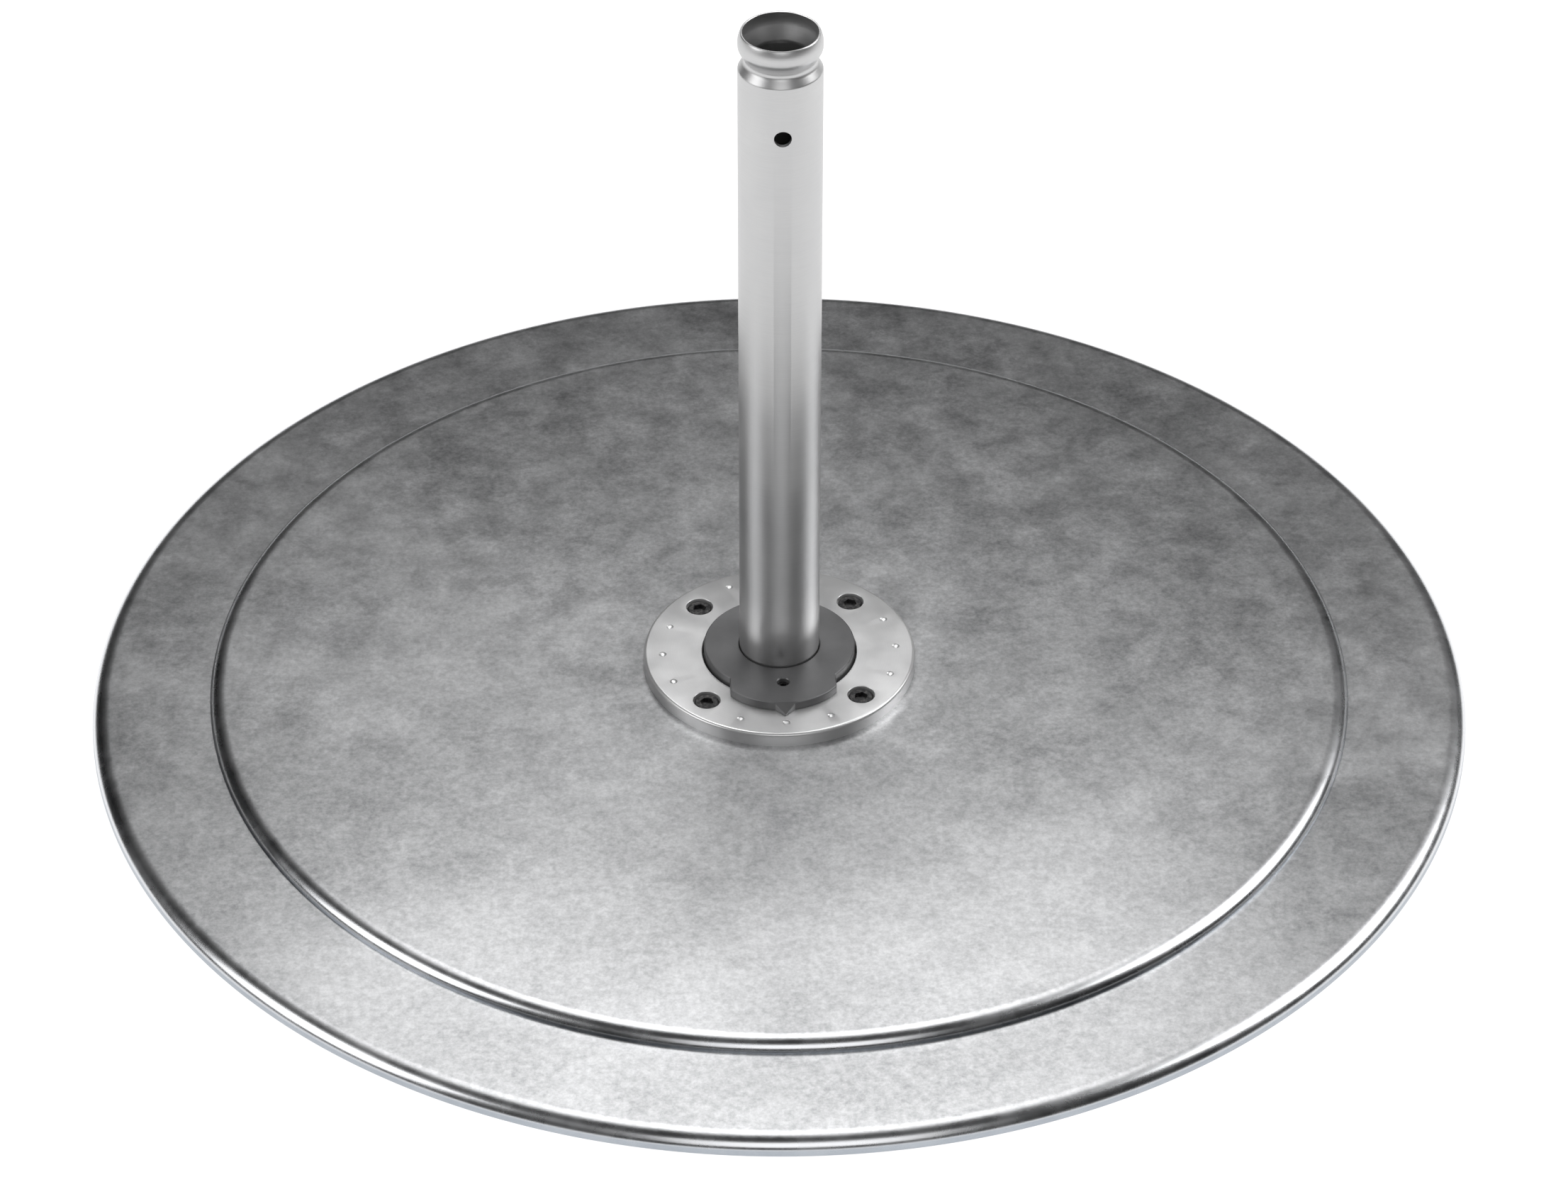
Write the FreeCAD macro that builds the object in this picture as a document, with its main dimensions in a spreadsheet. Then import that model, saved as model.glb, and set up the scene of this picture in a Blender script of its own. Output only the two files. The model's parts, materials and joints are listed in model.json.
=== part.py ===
"""Parasol base: two stacked steel plates, an index ring and a swivelling spigot tube.

Frame: +Z up, origin on the floor under the middle of the plates, and the hub's pointer
towards -Y.  Every length is in millimetres and every angle in degrees.
"""
import FreeCAD, Part
import math
import os
import re
import Sketcher

from FreeCAD import Placement, Rotation, Vector

# Alias, value, and what the value is.
DIMENSIONS = [
    ("floor_gap", 2.0, "how far the foot pads stand out under the lower plate"),
    ("lower_diameter", 914.4, "lower plate, 36 inch"),
    ("lower_thickness", 12.7, "lower plate, half inch"),
    ("lower_round", 8.5, "rounding of the lower plate's top rim"),
    ("lower_under_round", 3.0, "rounding of the lower plate's bottom rim"),
    ("upper_diameter", 758.0, "upper plate, a 30 inch blank turned at its rim"),
    ("upper_thickness", 7.9, "upper plate, five sixteenths of an inch"),
    ("upper_round", 7.5, "rounding of the upper plate's top rim"),
    ("pad_diameter", 44.0, "foot pad"),
    ("pad_thickness", 6.0, "foot pad, partly sunk into the lower plate"),
    ("pad_circle", 800.0, "circle that the foot pads stand on"),
    ("pad_screw_diameter", 5.0, "foot pad screw's shank"),
    ("pad_head_diameter", 10.0, "foot pad screw's head"),
    ("pad_head_seat", 4.0, "seat of the foot pad screw's head above the pad's sole"),
    ("pad_head_height", 2.5, "foot pad screw's head"),
    ("pad_screw_play", 0.3, "gap round the foot pad screw's head"),
    ("pad_thread_depth", 6.35, "foot pad screw's hole in the lower plate"),
    ("pad_round", 1.0, "rounding of the foot pad's sole"),
    ("plate_screw_circle", 600.0, "circle of the screws that join the two plates"),
    ("plate_screw_diameter", 10.0, "plate screw's shank"),
    ("plate_head_diameter", 20.0, "plate screw's countersunk head"),
    ("plate_screw_reach", 18.0, "plate screw's whole length"),
    ("plate_socket", 6.0, "plate screw's hexagon socket across flats"),
    ("plate_socket_depth", 4.0, "plate screw's hexagon socket"),
    ("end_gap", 0.1, "room beyond the end of a blind screw"),
    ("ring_diameter", 181.0, "index ring"),
    ("ring_thickness", 9.5, "index ring, three eighths of an inch"),
    ("ring_round", 2.2, "rounding of the index ring's top rim"),
    ("ring_bore_chamfer", 0.4, "chamfer round the ring's bore"),
    ("ring_bore", 103.0, "hole that the hub stands in"),
    ("ring_lip", 3.8, "ring's lip above the captured flange"),
    ("recess_diameter", 121.0, "recess under the ring for the flange and its bearings"),
    ("ring_screw_circle", 144.0, "circle of the four ring screws"),
    ("ring_screw_diameter", 10.0, "ring screw's shank"),
    ("ring_head_diameter", 16.0, "ring screw's low head"),
    ("ring_head_height", 5.0, "ring screw's low head"),
    ("ring_screw_reach", 20.0, "ring screw's length under the head"),
    ("ring_head_chamfer", 0.8, "chamfer round the ring screw's head"),
    ("ring_socket", 8.0, "ring screw's hexagon socket across flats"),
    ("ring_socket_depth", 2.8, "ring screw's hexagon socket"),
    ("ring_thread_depth", 9.1, "ring screw's hole in the lower plate"),
    ("counterbore_diameter", 18.0, "counterbore for a ring screw's head"),
    ("counterbore_depth", 6.4, "counterbore for a ring screw's head"),
    ("clearance_diameter", 11.0, "clearance hole of a ring screw"),
    ("index_circle", 155.5, "circle of the drilled index marks"),
    ("index_diameter", 5.0, "drilled index mark"),
    ("index_depth", 0.3, "straight part of a drilled index mark, above its conical point"),
    ("washer_thickness", 1.0, "upper and lower thrust washers"),
    ("bearing_play", 0.1, "axial play of the flange between its washers"),
    ("running_play", 0.05, "radial clearance of a running or threaded fit"),
    ("bush_wall", 1.45, "wall of the bush round the flange"),
    ("lower_washer_bore", 93.6, "hole in the lower thrust washer"),
    ("flange_thickness", 3.6, "hub flange"),
    ("barrel_diameter", 100.4, "hub cap where it stands in the ring"),
    ("cap_lift", 0.3, "gap between the hub cap's tongue and the ring"),
    ("cap_plate", 5.7, "thickness of the hub cap's tongue"),
    ("cap_round", 0.8, "rounding of the hub cap's top edges"),
    ("cap_bore", 53.6, "hole in the hub cap for the tube"),
    ("tongue_half_width", 35.0, "half the width of the hub cap's front tongue"),
    ("tongue_reach", 65.0, "front of the tongue from the swivel axis"),
    ("tongue_radius", 44.5, "radius of the tongue's curved front"),
    ("tongue_root", 30.0, "start of the tongue inside the drum"),
    ("pointer_root", 63.5, "start of the pointer inside the tongue"),
    ("pointer_reach", 71.0, "tip of the pointer from the swivel axis"),
    ("pointer_half_width", 7.5, "half the pointer's width at its root"),
    ("pointer_tip", 1.1, "pointer's height at its tip"),
    ("hub_screw_circle", 76.0, "circle of the screws that hold flange and cap together"),
    ("hub_screw_diameter", 6.0, "hub screw's shank"),
    ("hub_head_diameter", 12.0, "hub screw's countersunk head"),
    ("hub_screw_reach", 12.0, "hub screw's whole length"),
    ("hub_socket", 4.0, "hub screw's hexagon socket across flats"),
    ("hub_socket_depth", 2.0, "hub screw's hexagon socket"),
    ("lock_offset", 42.0, "lock screw from the swivel axis"),
    ("lock_hole", 8.1, "threaded hole of the lock screw"),
    ("lock_countersink", 9.3, "mouth of the lock screw's hole in the cap"),
    ("lock_diameter", 7.9, "lock screw"),
    ("lock_reach", 9.0, "lock screw's length"),
    ("lock_socket", 4.0, "lock screw's hexagon socket across flats"),
    ("lock_socket_depth", 4.5, "lock screw's hexagon socket"),
    ("lock_gap", 1.0, "released lock pad above the upper plate"),
    ("lock_pad_diameter", 7.4, "lock pad"),
    ("lock_pad_thickness", 2.5, "lock pad"),
    ("tube_diameter", 53.0, "spigot tube"),
    ("tube_wall", 3.0, "spigot tube"),
    ("tube_top", 508.0, "spigot tube's rim above the floor, 20 inch"),
    ("foot_relief", 0.4, "how far the tube's foot is turned down to stand in the flange"),
    ("foot_rise", 1.0, "top of the turned-down foot above the hub cap"),
    ("rolled_wall", 2.4, "tube's wall where the bead and groove are rolled"),
    ("lip_wall", 1.2, "tube's wall at the rim"),
    ("rolled_slope", 1.0, "length over which the tube's wall thins inside"),
    ("rim_radius", 24.6, "outside of the spigot tube's rim"),
    ("neck_radius", 22.6, "bottom of the rolled groove below the rim"),
    ("bead_start", 4.5, "start of the bead's straight, below the rim"),
    ("bead_end", 10.5, "end of the bead's straight, below the rim"),
    ("neck_start", 17.5, "start of the groove's floor, below the rim"),
    ("neck_end", 20.5, "end of the groove's floor, below the rim"),
    ("bead_round", 3.4, "rounding of the rolled bead"),
    ("neck_round", 2.0, "rounding in the rolled groove"),
    ("shoulder", 25.5, "tube's full diameter again, below the rim"),
    ("shoulder_round", 1.0, "rounding of the tube's shoulder"),
    ("cross_hole", 11.0, "cross hole for the mast's locking pin"),
    ("cross_hole_drop", 61.0, "cross hole below the rim"),
    ("seal_play", 0.3, "gap between the seal and the hub"),
    ("seal_sink", 1.8, "seal below the ring's top"),
    ("seal_height", 1.9, "rubber seal in the ring's bore"),
]

# Levels above the floor, as expressions of the sheet's cells.
LOWER_TOP = "(floor_gap + lower_thickness)"
UPPER_TOP = f"({LOWER_TOP} + upper_thickness)"
RING_TOP = f"({UPPER_TOP} + ring_thickness)"
RECESS_TOP = f"({RING_TOP} - ring_lip)"
FLANGE_BOTTOM = f"({UPPER_TOP} + washer_thickness)"
FLANGE_TOP = f"({FLANGE_BOTTOM} + flange_thickness)"
CAP_UNDERSIDE = f"({RING_TOP} + cap_lift)"
CAP_TOP = f"({CAP_UNDERSIDE} + cap_plate)"
COUNTERBORE_FLOOR = f"({RING_TOP} - counterbore_depth)"
PAD_POCKET_TOP = "pad_thickness"
LOCK_PAD_BOTTOM = f"({UPPER_TOP} + lock_gap)"
LOCK_PAD_TOP = f"({LOCK_PAD_BOTTOM} + lock_pad_thickness)"
LOCK_SCREW_TOP = f"({LOCK_PAD_TOP} + lock_reach)"
FOOT_RADIUS = "(tube_diameter / 2 - foot_relief)"

RING_SCREWS = 4
RING_SCREW_ANGLE = 45.0
INDEX_STEP = 22.5
INDEX_MARKS = (-INDEX_STEP, 0.0, INDEX_STEP)
PLATE_SCREWS = 6
PLATE_SCREW_ANGLE = 0.0
FOOT_PADS = 6
FOOT_PAD_ANGLE = 30.0
HUB_SCREWS = 4
HUB_SCREW_ANGLE = 45.0
POINTER_ANGLE = -90.0

ROOT = -1          # a sketch's origin, and its horizontal axis
VERTICAL = -2      # a sketch's vertical axis
START, END, CENTRE = 1, 2, 3

doc = FreeCAD.newDocument("ParasolBase")
sheet = doc.addObject("Spreadsheet::Sheet", "Dimensions")
for row, (alias, number, note) in enumerate(DIMENSIONS, start=1):
    sheet.set(f"A{row}", note)
    sheet.set(f"B{row}", str(number))
    sheet.setAlias(f"B{row}", alias)
doc.recompute()

bodies = []


# ---- expressions and sketches ---------------------------------------------------------

def bound(expression):
    """The expression with every alias pointing at the sheet."""
    return re.sub(r"\b([a-z]+_[a-z_]+|shoulder)\b", r"Dimensions.\1", expression)


def value(expression):
    """The expression's present value as a plain number."""
    result = sheet.evalExpression(bound(expression))
    return float(getattr(result, "Value", result))


def new_body(label):
    body = doc.addObject("PartDesign::Body", label)
    body.Label = label
    bodies.append(body)
    return body


def new_sketch(body, name, role, level="0", turn=0.0):
    """A sketch on one of the body's own planes, lifted by level and turned about Z."""
    sketch = body.newObject("Sketcher::SketchObject", name)
    plane = next(item for item in body.Origin.OriginFeatures if item.Role == role)
    sketch.AttachmentSupport = [(plane, "")]
    sketch.MapMode = "FlatFace"
    sketch.AttachmentOffset = Placement(Vector(0, 0, value(level)), Rotation(Vector(0, 0, 1), turn))
    sketch.setExpression("AttachmentOffset.Base.z", bound(level))
    return sketch


def drive(sketch, constraint, expression):
    """Add a dimension to the sketch and bind it to the sheet."""
    index = sketch.addConstraint(constraint)
    name = f"size{index}"
    sketch.renameConstraint(index, name)
    sketch.setExpression(f"Constraints.{name}", bound(expression))


def pin_point(sketch, geometry, point, across, along):
    """Fix a point of the sketch by its distances from the sketch's axes."""
    if across == "0":
        sketch.addConstraint(Sketcher.Constraint("PointOnObject", geometry, point, VERTICAL))
    else:
        distance = Sketcher.Constraint("DistanceX", ROOT, START, geometry, point, value(across))
        drive(sketch, distance, across)
    if along == "0":
        sketch.addConstraint(Sketcher.Constraint("PointOnObject", geometry, point, ROOT))
    else:
        distance = Sketcher.Constraint("DistanceY", ROOT, START, geometry, point, value(along))
        drive(sketch, distance, along)


def outline(sketch, corners):
    """A closed outline of straight lines through the corners."""
    points = [Vector(value(across), value(along), 0) for across, along in corners]
    count = len(points)
    for index, point in enumerate(points):
        sketch.addGeometry(Part.LineSegment(point, points[(index + 1) % count]), False)
    for index in range(count):
        sketch.addConstraint(Sketcher.Constraint("Coincident", index, END, (index + 1) % count, START))
    for index, (across, along) in enumerate(corners):
        pin_point(sketch, index, START, across, along)


def circle(sketch, diameter, across="0"):
    """A circle on the sketch's horizontal axis."""
    geometry = sketch.addGeometry(
        Part.Circle(Vector(value(across), 0, 0), Vector(0, 0, 1), value(diameter) / 2), False)
    pin_point(sketch, geometry, CENTRE, across, "0")
    drive(sketch, Sketcher.Constraint("Diameter", geometry, value(diameter)), diameter)


def hexagon(sketch, across_flats, across="0"):
    """A regular hexagon on the sketch's horizontal axis."""
    centre = Vector(value(across), 0, 0)
    corner_radius = value(across_flats) / math.sqrt(3)
    corners = [centre + Rotation(Vector(0, 0, 1), 60 * side).multVec(Vector(corner_radius, 0, 0))
               for side in range(6)]
    for side in range(6):
        sketch.addGeometry(Part.LineSegment(corners[side], corners[(side + 1) % 6]), False)
    guide = sketch.addGeometry(Part.Circle(centre, Vector(0, 0, 1), corner_radius), True)
    for side in range(6):
        sketch.addConstraint(Sketcher.Constraint("Coincident", side, END, (side + 1) % 6, START))
        sketch.addConstraint(Sketcher.Constraint("PointOnObject", side, START, guide))
    for side in range(1, 6):
        sketch.addConstraint(Sketcher.Constraint("Equal", 0, side))
    sketch.addConstraint(Sketcher.Constraint("PointOnObject", 0, START, ROOT))
    pin_point(sketch, guide, CENTRE, across, "0")
    drive(sketch, Sketcher.Constraint("Radius", guide, corner_radius), f"{across_flats} / sqrt(3)")


# ---- features -------------------------------------------------------------------------

def revolve(body, name, corners, offset=None):
    """Turn a half outline of (radius, height) corners about Z, or about a parallel axis."""
    sketch = new_sketch(body, f"{name}_outline", "XZ_Plane")
    if offset:
        sketch.setExpression("AttachmentOffset.Base.x", bound(offset))
        doc.recompute()
    outline(sketch, corners)
    feature = body.newObject("PartDesign::Revolution", name)
    feature.Profile = sketch
    feature.ReferenceAxis = (sketch, ["V_Axis"])
    feature.Angle = 360
    doc.recompute()
    return feature


def pad(body, name, sketch, length):
    feature = body.newObject("PartDesign::Pad", name)
    feature.Profile = sketch
    feature.setExpression("Length", bound(length))
    doc.recompute()
    return feature


def pocket(body, name, sketch, length=None, both_ways=False):
    """Cut the sketch into the body, to a depth or through all of it."""
    before = body.Shape.Volume
    feature = body.newObject("PartDesign::Pocket", name)
    feature.Profile = sketch
    if length:
        feature.setExpression("Length", bound(length))
    else:
        feature.Type = "ThroughAll"
    if both_ways:
        feature.Midplane = True
    doc.recompute()
    if not feature.Shape.Volume < before - 1e-3:
        raise RuntimeError(f"{body.Label}: {name} cuts nothing")
    return feature


def drill(body, name, level, diameter, across="0", turn=0.0, depth=None, upward=False,
          head=None, head_depth=None, head_style="Counterbore", pointed=False):
    """A hole on a circle of radius across, with an optional counterbore, countersink or drill point."""
    before = body.Shape.Volume
    sketch = new_sketch(body, f"{name}_centre", "XY_Plane", level, turn)
    circle(sketch, diameter, across)
    feature = body.newObject("PartDesign::Hole", name)
    feature.Profile = sketch
    doc.recompute()
    feature.DrillPoint = "Angled" if pointed else "Flat"
    feature.Reversed = upward
    feature.setExpression("Diameter", bound(diameter))
    feature.DepthType = "Dimension" if depth else "ThroughAll"
    if depth:
        feature.setExpression("Depth", bound(depth))
    if head:
        feature.HoleCutType = head_style
        feature.HoleCutCustomValues = True
        feature.setExpression("HoleCutDiameter", bound(head))
        if head_depth:
            feature.setExpression("HoleCutDepth", bound(head_depth))
        if head_style == "Countersink":
            feature.HoleCutCountersinkAngle = 90
    doc.recompute()
    if not feature.Shape.Volume < before - 1e-3:
        raise RuntimeError(f"{body.Label}: {name} cuts nothing")
    return feature


def repeat(body, name, features, count):
    """Repeat features evenly round Z."""
    feature = body.newObject("PartDesign::PolarPattern", name)
    feature.Originals = features
    axis = next(item for item in body.Origin.OriginFeatures if item.Role == "Z_Axis")
    feature.Axis = (axis, [""])
    feature.Angle = 360
    feature.Occurrences = count
    body.Tip = feature
    doc.recompute()
    return feature


def rims(shape, spots):
    """Names of the round edges about Z at the given (radius, height) spots."""
    wanted = [(value(radius), value(height)) for radius, height in spots]
    names = []
    for index, edge in enumerate(shape.Edges, start=1):
        if not isinstance(edge.Curve, Part.Circle):
            continue
        centre = edge.Curve.Center
        for radius, height in wanted:
            if abs(edge.Curve.Radius - radius) < 0.01 and abs(centre.z - height) < 0.01:
                names.append(f"Edge{index}")
    if len(names) < len(wanted):
        raise RuntimeError(f"only {len(names)} of {len(wanted)} rims found")
    return names


def edges_at(shape, height):
    """Names of the edges that lie wholly at a height."""
    level = value(height)
    return [f"Edge{index}" for index, edge in enumerate(shape.Edges, start=1)
            if abs(edge.BoundBox.ZMin - level) < 0.01 and abs(edge.BoundBox.ZMax - level) < 0.01]


def soften(body, name, base, edges, size, kind="Fillet"):
    """Round or chamfer the named edges."""
    feature = body.newObject(f"PartDesign::{kind}", name)
    feature.Base = (base, edges)
    feature.setExpression("Radius" if kind == "Fillet" else "Size", bound(size))
    doc.recompute()
    return feature


def disc(radius, bottom, top, bore="0"):
    """Corners of a plain disc or washer."""
    return [(bore, bottom), (radius, bottom), (radius, top), (bore, top)]


# ---- plates and feet ------------------------------------------------------------------

def lower_plate():
    body = new_body("lower_plate")
    plate = revolve(body, "plate", disc("lower_diameter / 2", "floor_gap", LOWER_TOP))
    rim = "lower_diameter / 2"
    rounded = soften(body, "rounded_rim", plate, rims(plate.Shape, [(rim, LOWER_TOP)]), "lower_round")
    soften(body, "rounded_under", rounded, rims(rounded.Shape, [(rim, "floor_gap")]), "lower_under_round")
    pad_pocket = drill(body, "pad_pocket", "floor_gap", "pad_diameter", "pad_circle / 2",
                       FOOT_PAD_ANGLE, f"{PAD_POCKET_TOP} - floor_gap", upward=True)
    repeat(body, "pad_pockets", [pad_pocket], FOOT_PADS)
    pad_thread = drill(body, "pad_thread", PAD_POCKET_TOP, "pad_screw_diameter", "pad_circle / 2",
                       FOOT_PAD_ANGLE, "pad_thread_depth", upward=True)
    repeat(body, "pad_threads", [pad_thread], FOOT_PADS)
    joining = drill(body, "plate_screw_hole", "floor_gap", "plate_screw_diameter + 2 * running_play",
                    "plate_screw_circle / 2", PLATE_SCREW_ANGLE, upward=True,
                    head="plate_head_diameter", head_style="Countersink")
    repeat(body, "plate_screw_holes", [joining], PLATE_SCREWS)
    thread = drill(body, "ring_screw_thread", LOWER_TOP, "ring_screw_diameter + 2 * running_play",
                   "ring_screw_circle / 2", RING_SCREW_ANGLE, "ring_thread_depth")
    repeat(body, "ring_screw_threads", [thread], RING_SCREWS)


def upper_plate():
    body = new_body("upper_plate")
    plate = revolve(body, "plate", disc("upper_diameter / 2", LOWER_TOP, UPPER_TOP))
    soften(body, "rounded_rim", plate, rims(plate.Shape, [("upper_diameter / 2", UPPER_TOP)]), "upper_round")
    passage = drill(body, "ring_screw_hole", UPPER_TOP, "clearance_diameter",
                    "ring_screw_circle / 2", RING_SCREW_ANGLE)
    repeat(body, "ring_screw_holes", [passage], RING_SCREWS)
    thread = drill(body, "plate_screw_thread", LOWER_TOP, "plate_screw_diameter + 2 * running_play",
                   "plate_screw_circle / 2", PLATE_SCREW_ANGLE,
                   "plate_screw_reach - lower_thickness + end_gap", upward=True)
    repeat(body, "plate_screw_threads", [thread], PLATE_SCREWS)


def plate_screws():
    """Countersunk screws from below that clamp the two plates together."""
    body = new_body("plate_screws")
    shank = "plate_screw_diameter / 2"
    head = "plate_head_diameter / 2 - running_play"
    screw = revolve(body, "screw", [
        ("0", "floor_gap"), (head, "floor_gap"), (shank, f"floor_gap + {head} - {shank}"),
        (shank, "floor_gap + plate_screw_reach"), ("0", "floor_gap + plate_screw_reach")],
        offset="plate_screw_circle / 2")
    sketch = new_sketch(body, "socket_outline", "XY_Plane", "floor_gap")
    hexagon(sketch, "plate_socket", "plate_screw_circle / 2")
    socket = pocket(body, "socket", sketch, "2 * plate_socket_depth", both_ways=True)
    repeat(body, "screws", [screw, socket], PLATE_SCREWS)
    body.Placement = Placement(Vector(), Rotation(Vector(0, 0, 1), PLATE_SCREW_ANGLE))


def foot_pads():
    """Rubber pads sunk into the lower plate, each with a recess for its screw's head."""
    for index in range(FOOT_PADS):
        body = new_body(f"foot_pad_{index + 1}")
        rim = "pad_diameter / 2 - running_play"
        floor = revolve(body, "pad", [
            ("pad_screw_diameter / 2", "pad_head_seat"), ("pad_head_diameter / 2", "pad_head_seat"),
            ("pad_head_diameter / 2", "0"), (rim, "0"), (rim, "pad_thickness"),
            ("pad_screw_diameter / 2", "pad_thickness")])
        soften(body, "soft_rim", floor, rims(floor.Shape, [(rim, "0")]), "pad_round")
        turn = f"({FOOT_PAD_ANGLE + index * 360 / FOOT_PADS} deg)"
        body.setExpression("Placement.Base.x", bound(f"pad_circle / 2 * cos{turn}"))
        body.setExpression("Placement.Base.y", bound(f"pad_circle / 2 * sin{turn}"))


def foot_pad_screws():
    """Pan-head screws that hold the pads, their heads clear of the floor."""
    body = new_body("foot_pad_screws")
    shank = "pad_screw_diameter / 2 - running_play"
    head = "pad_head_diameter / 2 - pad_screw_play"
    bottom = "pad_head_seat - pad_head_height"
    top = "pad_thickness + pad_thread_depth - end_gap"
    screw = revolve(body, "screw", [
        ("0", bottom), (head, bottom), (head, "pad_head_seat"),
        (shank, "pad_head_seat"), (shank, top), ("0", top)], offset="pad_circle / 2")
    repeat(body, "screws", [screw], FOOT_PADS)
    body.Placement = Placement(Vector(), Rotation(Vector(0, 0, 1), FOOT_PAD_ANGLE))


# ---- index ring and its bearings ------------------------------------------------------

def index_ring():
    """Clamp ring with counterbored screw holes, a bearing recess and drilled index marks."""
    body = new_body("index_ring")
    rim = "ring_diameter / 2"
    ring = revolve(body, "ring", [
        ("ring_bore / 2", RECESS_TOP), ("recess_diameter / 2", RECESS_TOP),
        ("recess_diameter / 2", UPPER_TOP), (rim, UPPER_TOP), (rim, RING_TOP), ("ring_bore / 2", RING_TOP)])
    rounded = soften(body, "rounded_rim", ring, rims(ring.Shape, [(rim, RING_TOP)]), "ring_round")
    soften(body, "bore_chamfer", rounded, rims(rounded.Shape, [("ring_bore / 2", RING_TOP)]),
           "ring_bore_chamfer", "Chamfer")
    hole = drill(body, "screw_hole", RING_TOP, "clearance_diameter", "ring_screw_circle / 2",
                 RING_SCREW_ANGLE, head="counterbore_diameter", head_depth="counterbore_depth")
    repeat(body, "screw_holes", [hole], RING_SCREWS)
    for index, turn in enumerate(INDEX_MARKS):
        mark = drill(body, f"index_mark_{index}", RING_TOP, "index_diameter", "index_circle / 2",
                     turn, "index_depth", pointed=True)
        repeat(body, f"index_marks_{index}", [mark], RING_SCREWS)


def ring_screws():
    """Low-head socket screws through the ring and the upper plate into the lower plate."""
    body = new_body("ring_screws")
    shank = "ring_screw_diameter / 2"
    head_top = f"{COUNTERBORE_FLOOR} + ring_head_height"
    tip = f"{COUNTERBORE_FLOOR} - ring_screw_reach"
    screw = revolve(body, "screw", [
        ("0", tip), (shank, tip), (shank, COUNTERBORE_FLOOR), ("ring_head_diameter / 2", COUNTERBORE_FLOOR),
        ("ring_head_diameter / 2", f"{head_top} - ring_head_chamfer"),
        ("ring_head_diameter / 2 - ring_head_chamfer", head_top), ("0", head_top)],
        offset="ring_screw_circle / 2")
    sketch = new_sketch(body, "socket_outline", "XY_Plane", head_top)
    hexagon(sketch, "ring_socket", "ring_screw_circle / 2")
    socket = pocket(body, "socket", sketch, "ring_socket_depth")
    repeat(body, "screws", [screw, socket], RING_SCREWS)
    body.Placement = Placement(Vector(), Rotation(Vector(0, 0, 1), RING_SCREW_ANGLE))


def bearings():
    """Plastic washers above and below the flange, the bush round it, and the rubber seal."""
    revolve(new_body("lower_thrust_washer"), "washer",
            disc("recess_diameter / 2 - 2 * bush_wall", UPPER_TOP, FLANGE_BOTTOM, "lower_washer_bore / 2"))
    revolve(new_body("upper_thrust_washer"), "washer",
            disc("recess_diameter / 2 - seal_play", f"{FLANGE_TOP} + bearing_play", RECESS_TOP,
                 "barrel_diameter / 2 + seal_play"))
    revolve(new_body("flange_bush"), "bush",
            disc("recess_diameter / 2", UPPER_TOP, FLANGE_TOP, "recess_diameter / 2 - bush_wall"))
    seal_top = f"{RING_TOP} - seal_sink"
    revolve(new_body("hub_seal"), "seal",
            disc("ring_bore / 2", f"{seal_top} - seal_height", seal_top, "barrel_diameter / 2 + seal_play"))


# ---- swivelling hub -------------------------------------------------------------------

def hub_flange():
    """Steel flange that turns between the washers; the tube is welded into it."""
    body = new_body("hub_flange")
    revolve(body, "flange", disc("recess_diameter / 2 - bush_wall - running_play", FLANGE_BOTTOM,
                                 FLANGE_TOP, FOOT_RADIUS))
    drill(body, "lock_hole", FLANGE_TOP, "lock_hole", "lock_offset", POINTER_ANGLE)
    hole = drill(body, "screw_hole", FLANGE_BOTTOM, "hub_screw_diameter + 2 * running_play",
                 "hub_screw_circle / 2", HUB_SCREW_ANGLE, upward=True,
                 head="hub_head_diameter", head_style="Countersink")
    repeat(body, "screw_holes", [hole], HUB_SCREWS)


def tongue_outline(sketch):
    """Straight-sided tongue with a curved front, along the sketch's horizontal axis."""
    half, radius = value("tongue_half_width"), value("tongue_radius")
    centre = Vector(value("tongue_reach - tongue_radius"), 0, 0)
    corner = math.asin(half / radius)
    front = Part.Circle(centre, Vector(0, 0, 1), radius)
    sketch.addGeometry(Part.ArcOfCircle(front, -corner, corner), False)
    near = Vector(value("tongue_root"), half, 0)
    far = Vector(centre.x + radius * math.cos(corner), half, 0)
    flip = Vector(0, 2 * half, 0)
    for start, end in ((far, near), (near, near - flip), (near - flip, far - flip)):
        sketch.addGeometry(Part.LineSegment(start, end), False)
    for index in range(4):
        following = (index + 1) % 4
        sketch.addConstraint(Sketcher.Constraint("Coincident", index, END, following, START))
    for side in (1, 3):
        sketch.addConstraint(Sketcher.Constraint("Horizontal", side))
    sketch.addConstraint(Sketcher.Constraint("Symmetric", 2, START, 2, END, ROOT))
    pin_point(sketch, 0, CENTRE, "tongue_reach - tongue_radius", "0")
    drive(sketch, Sketcher.Constraint("Radius", 0, radius), "tongue_radius")
    root = Sketcher.Constraint("DistanceX", ROOT, START, 2, START, near.x)
    drive(sketch, root, "tongue_root")
    width = Sketcher.Constraint("DistanceY", 2, END, 2, START, 2 * half)
    drive(sketch, width, "2 * tongue_half_width")


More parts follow.
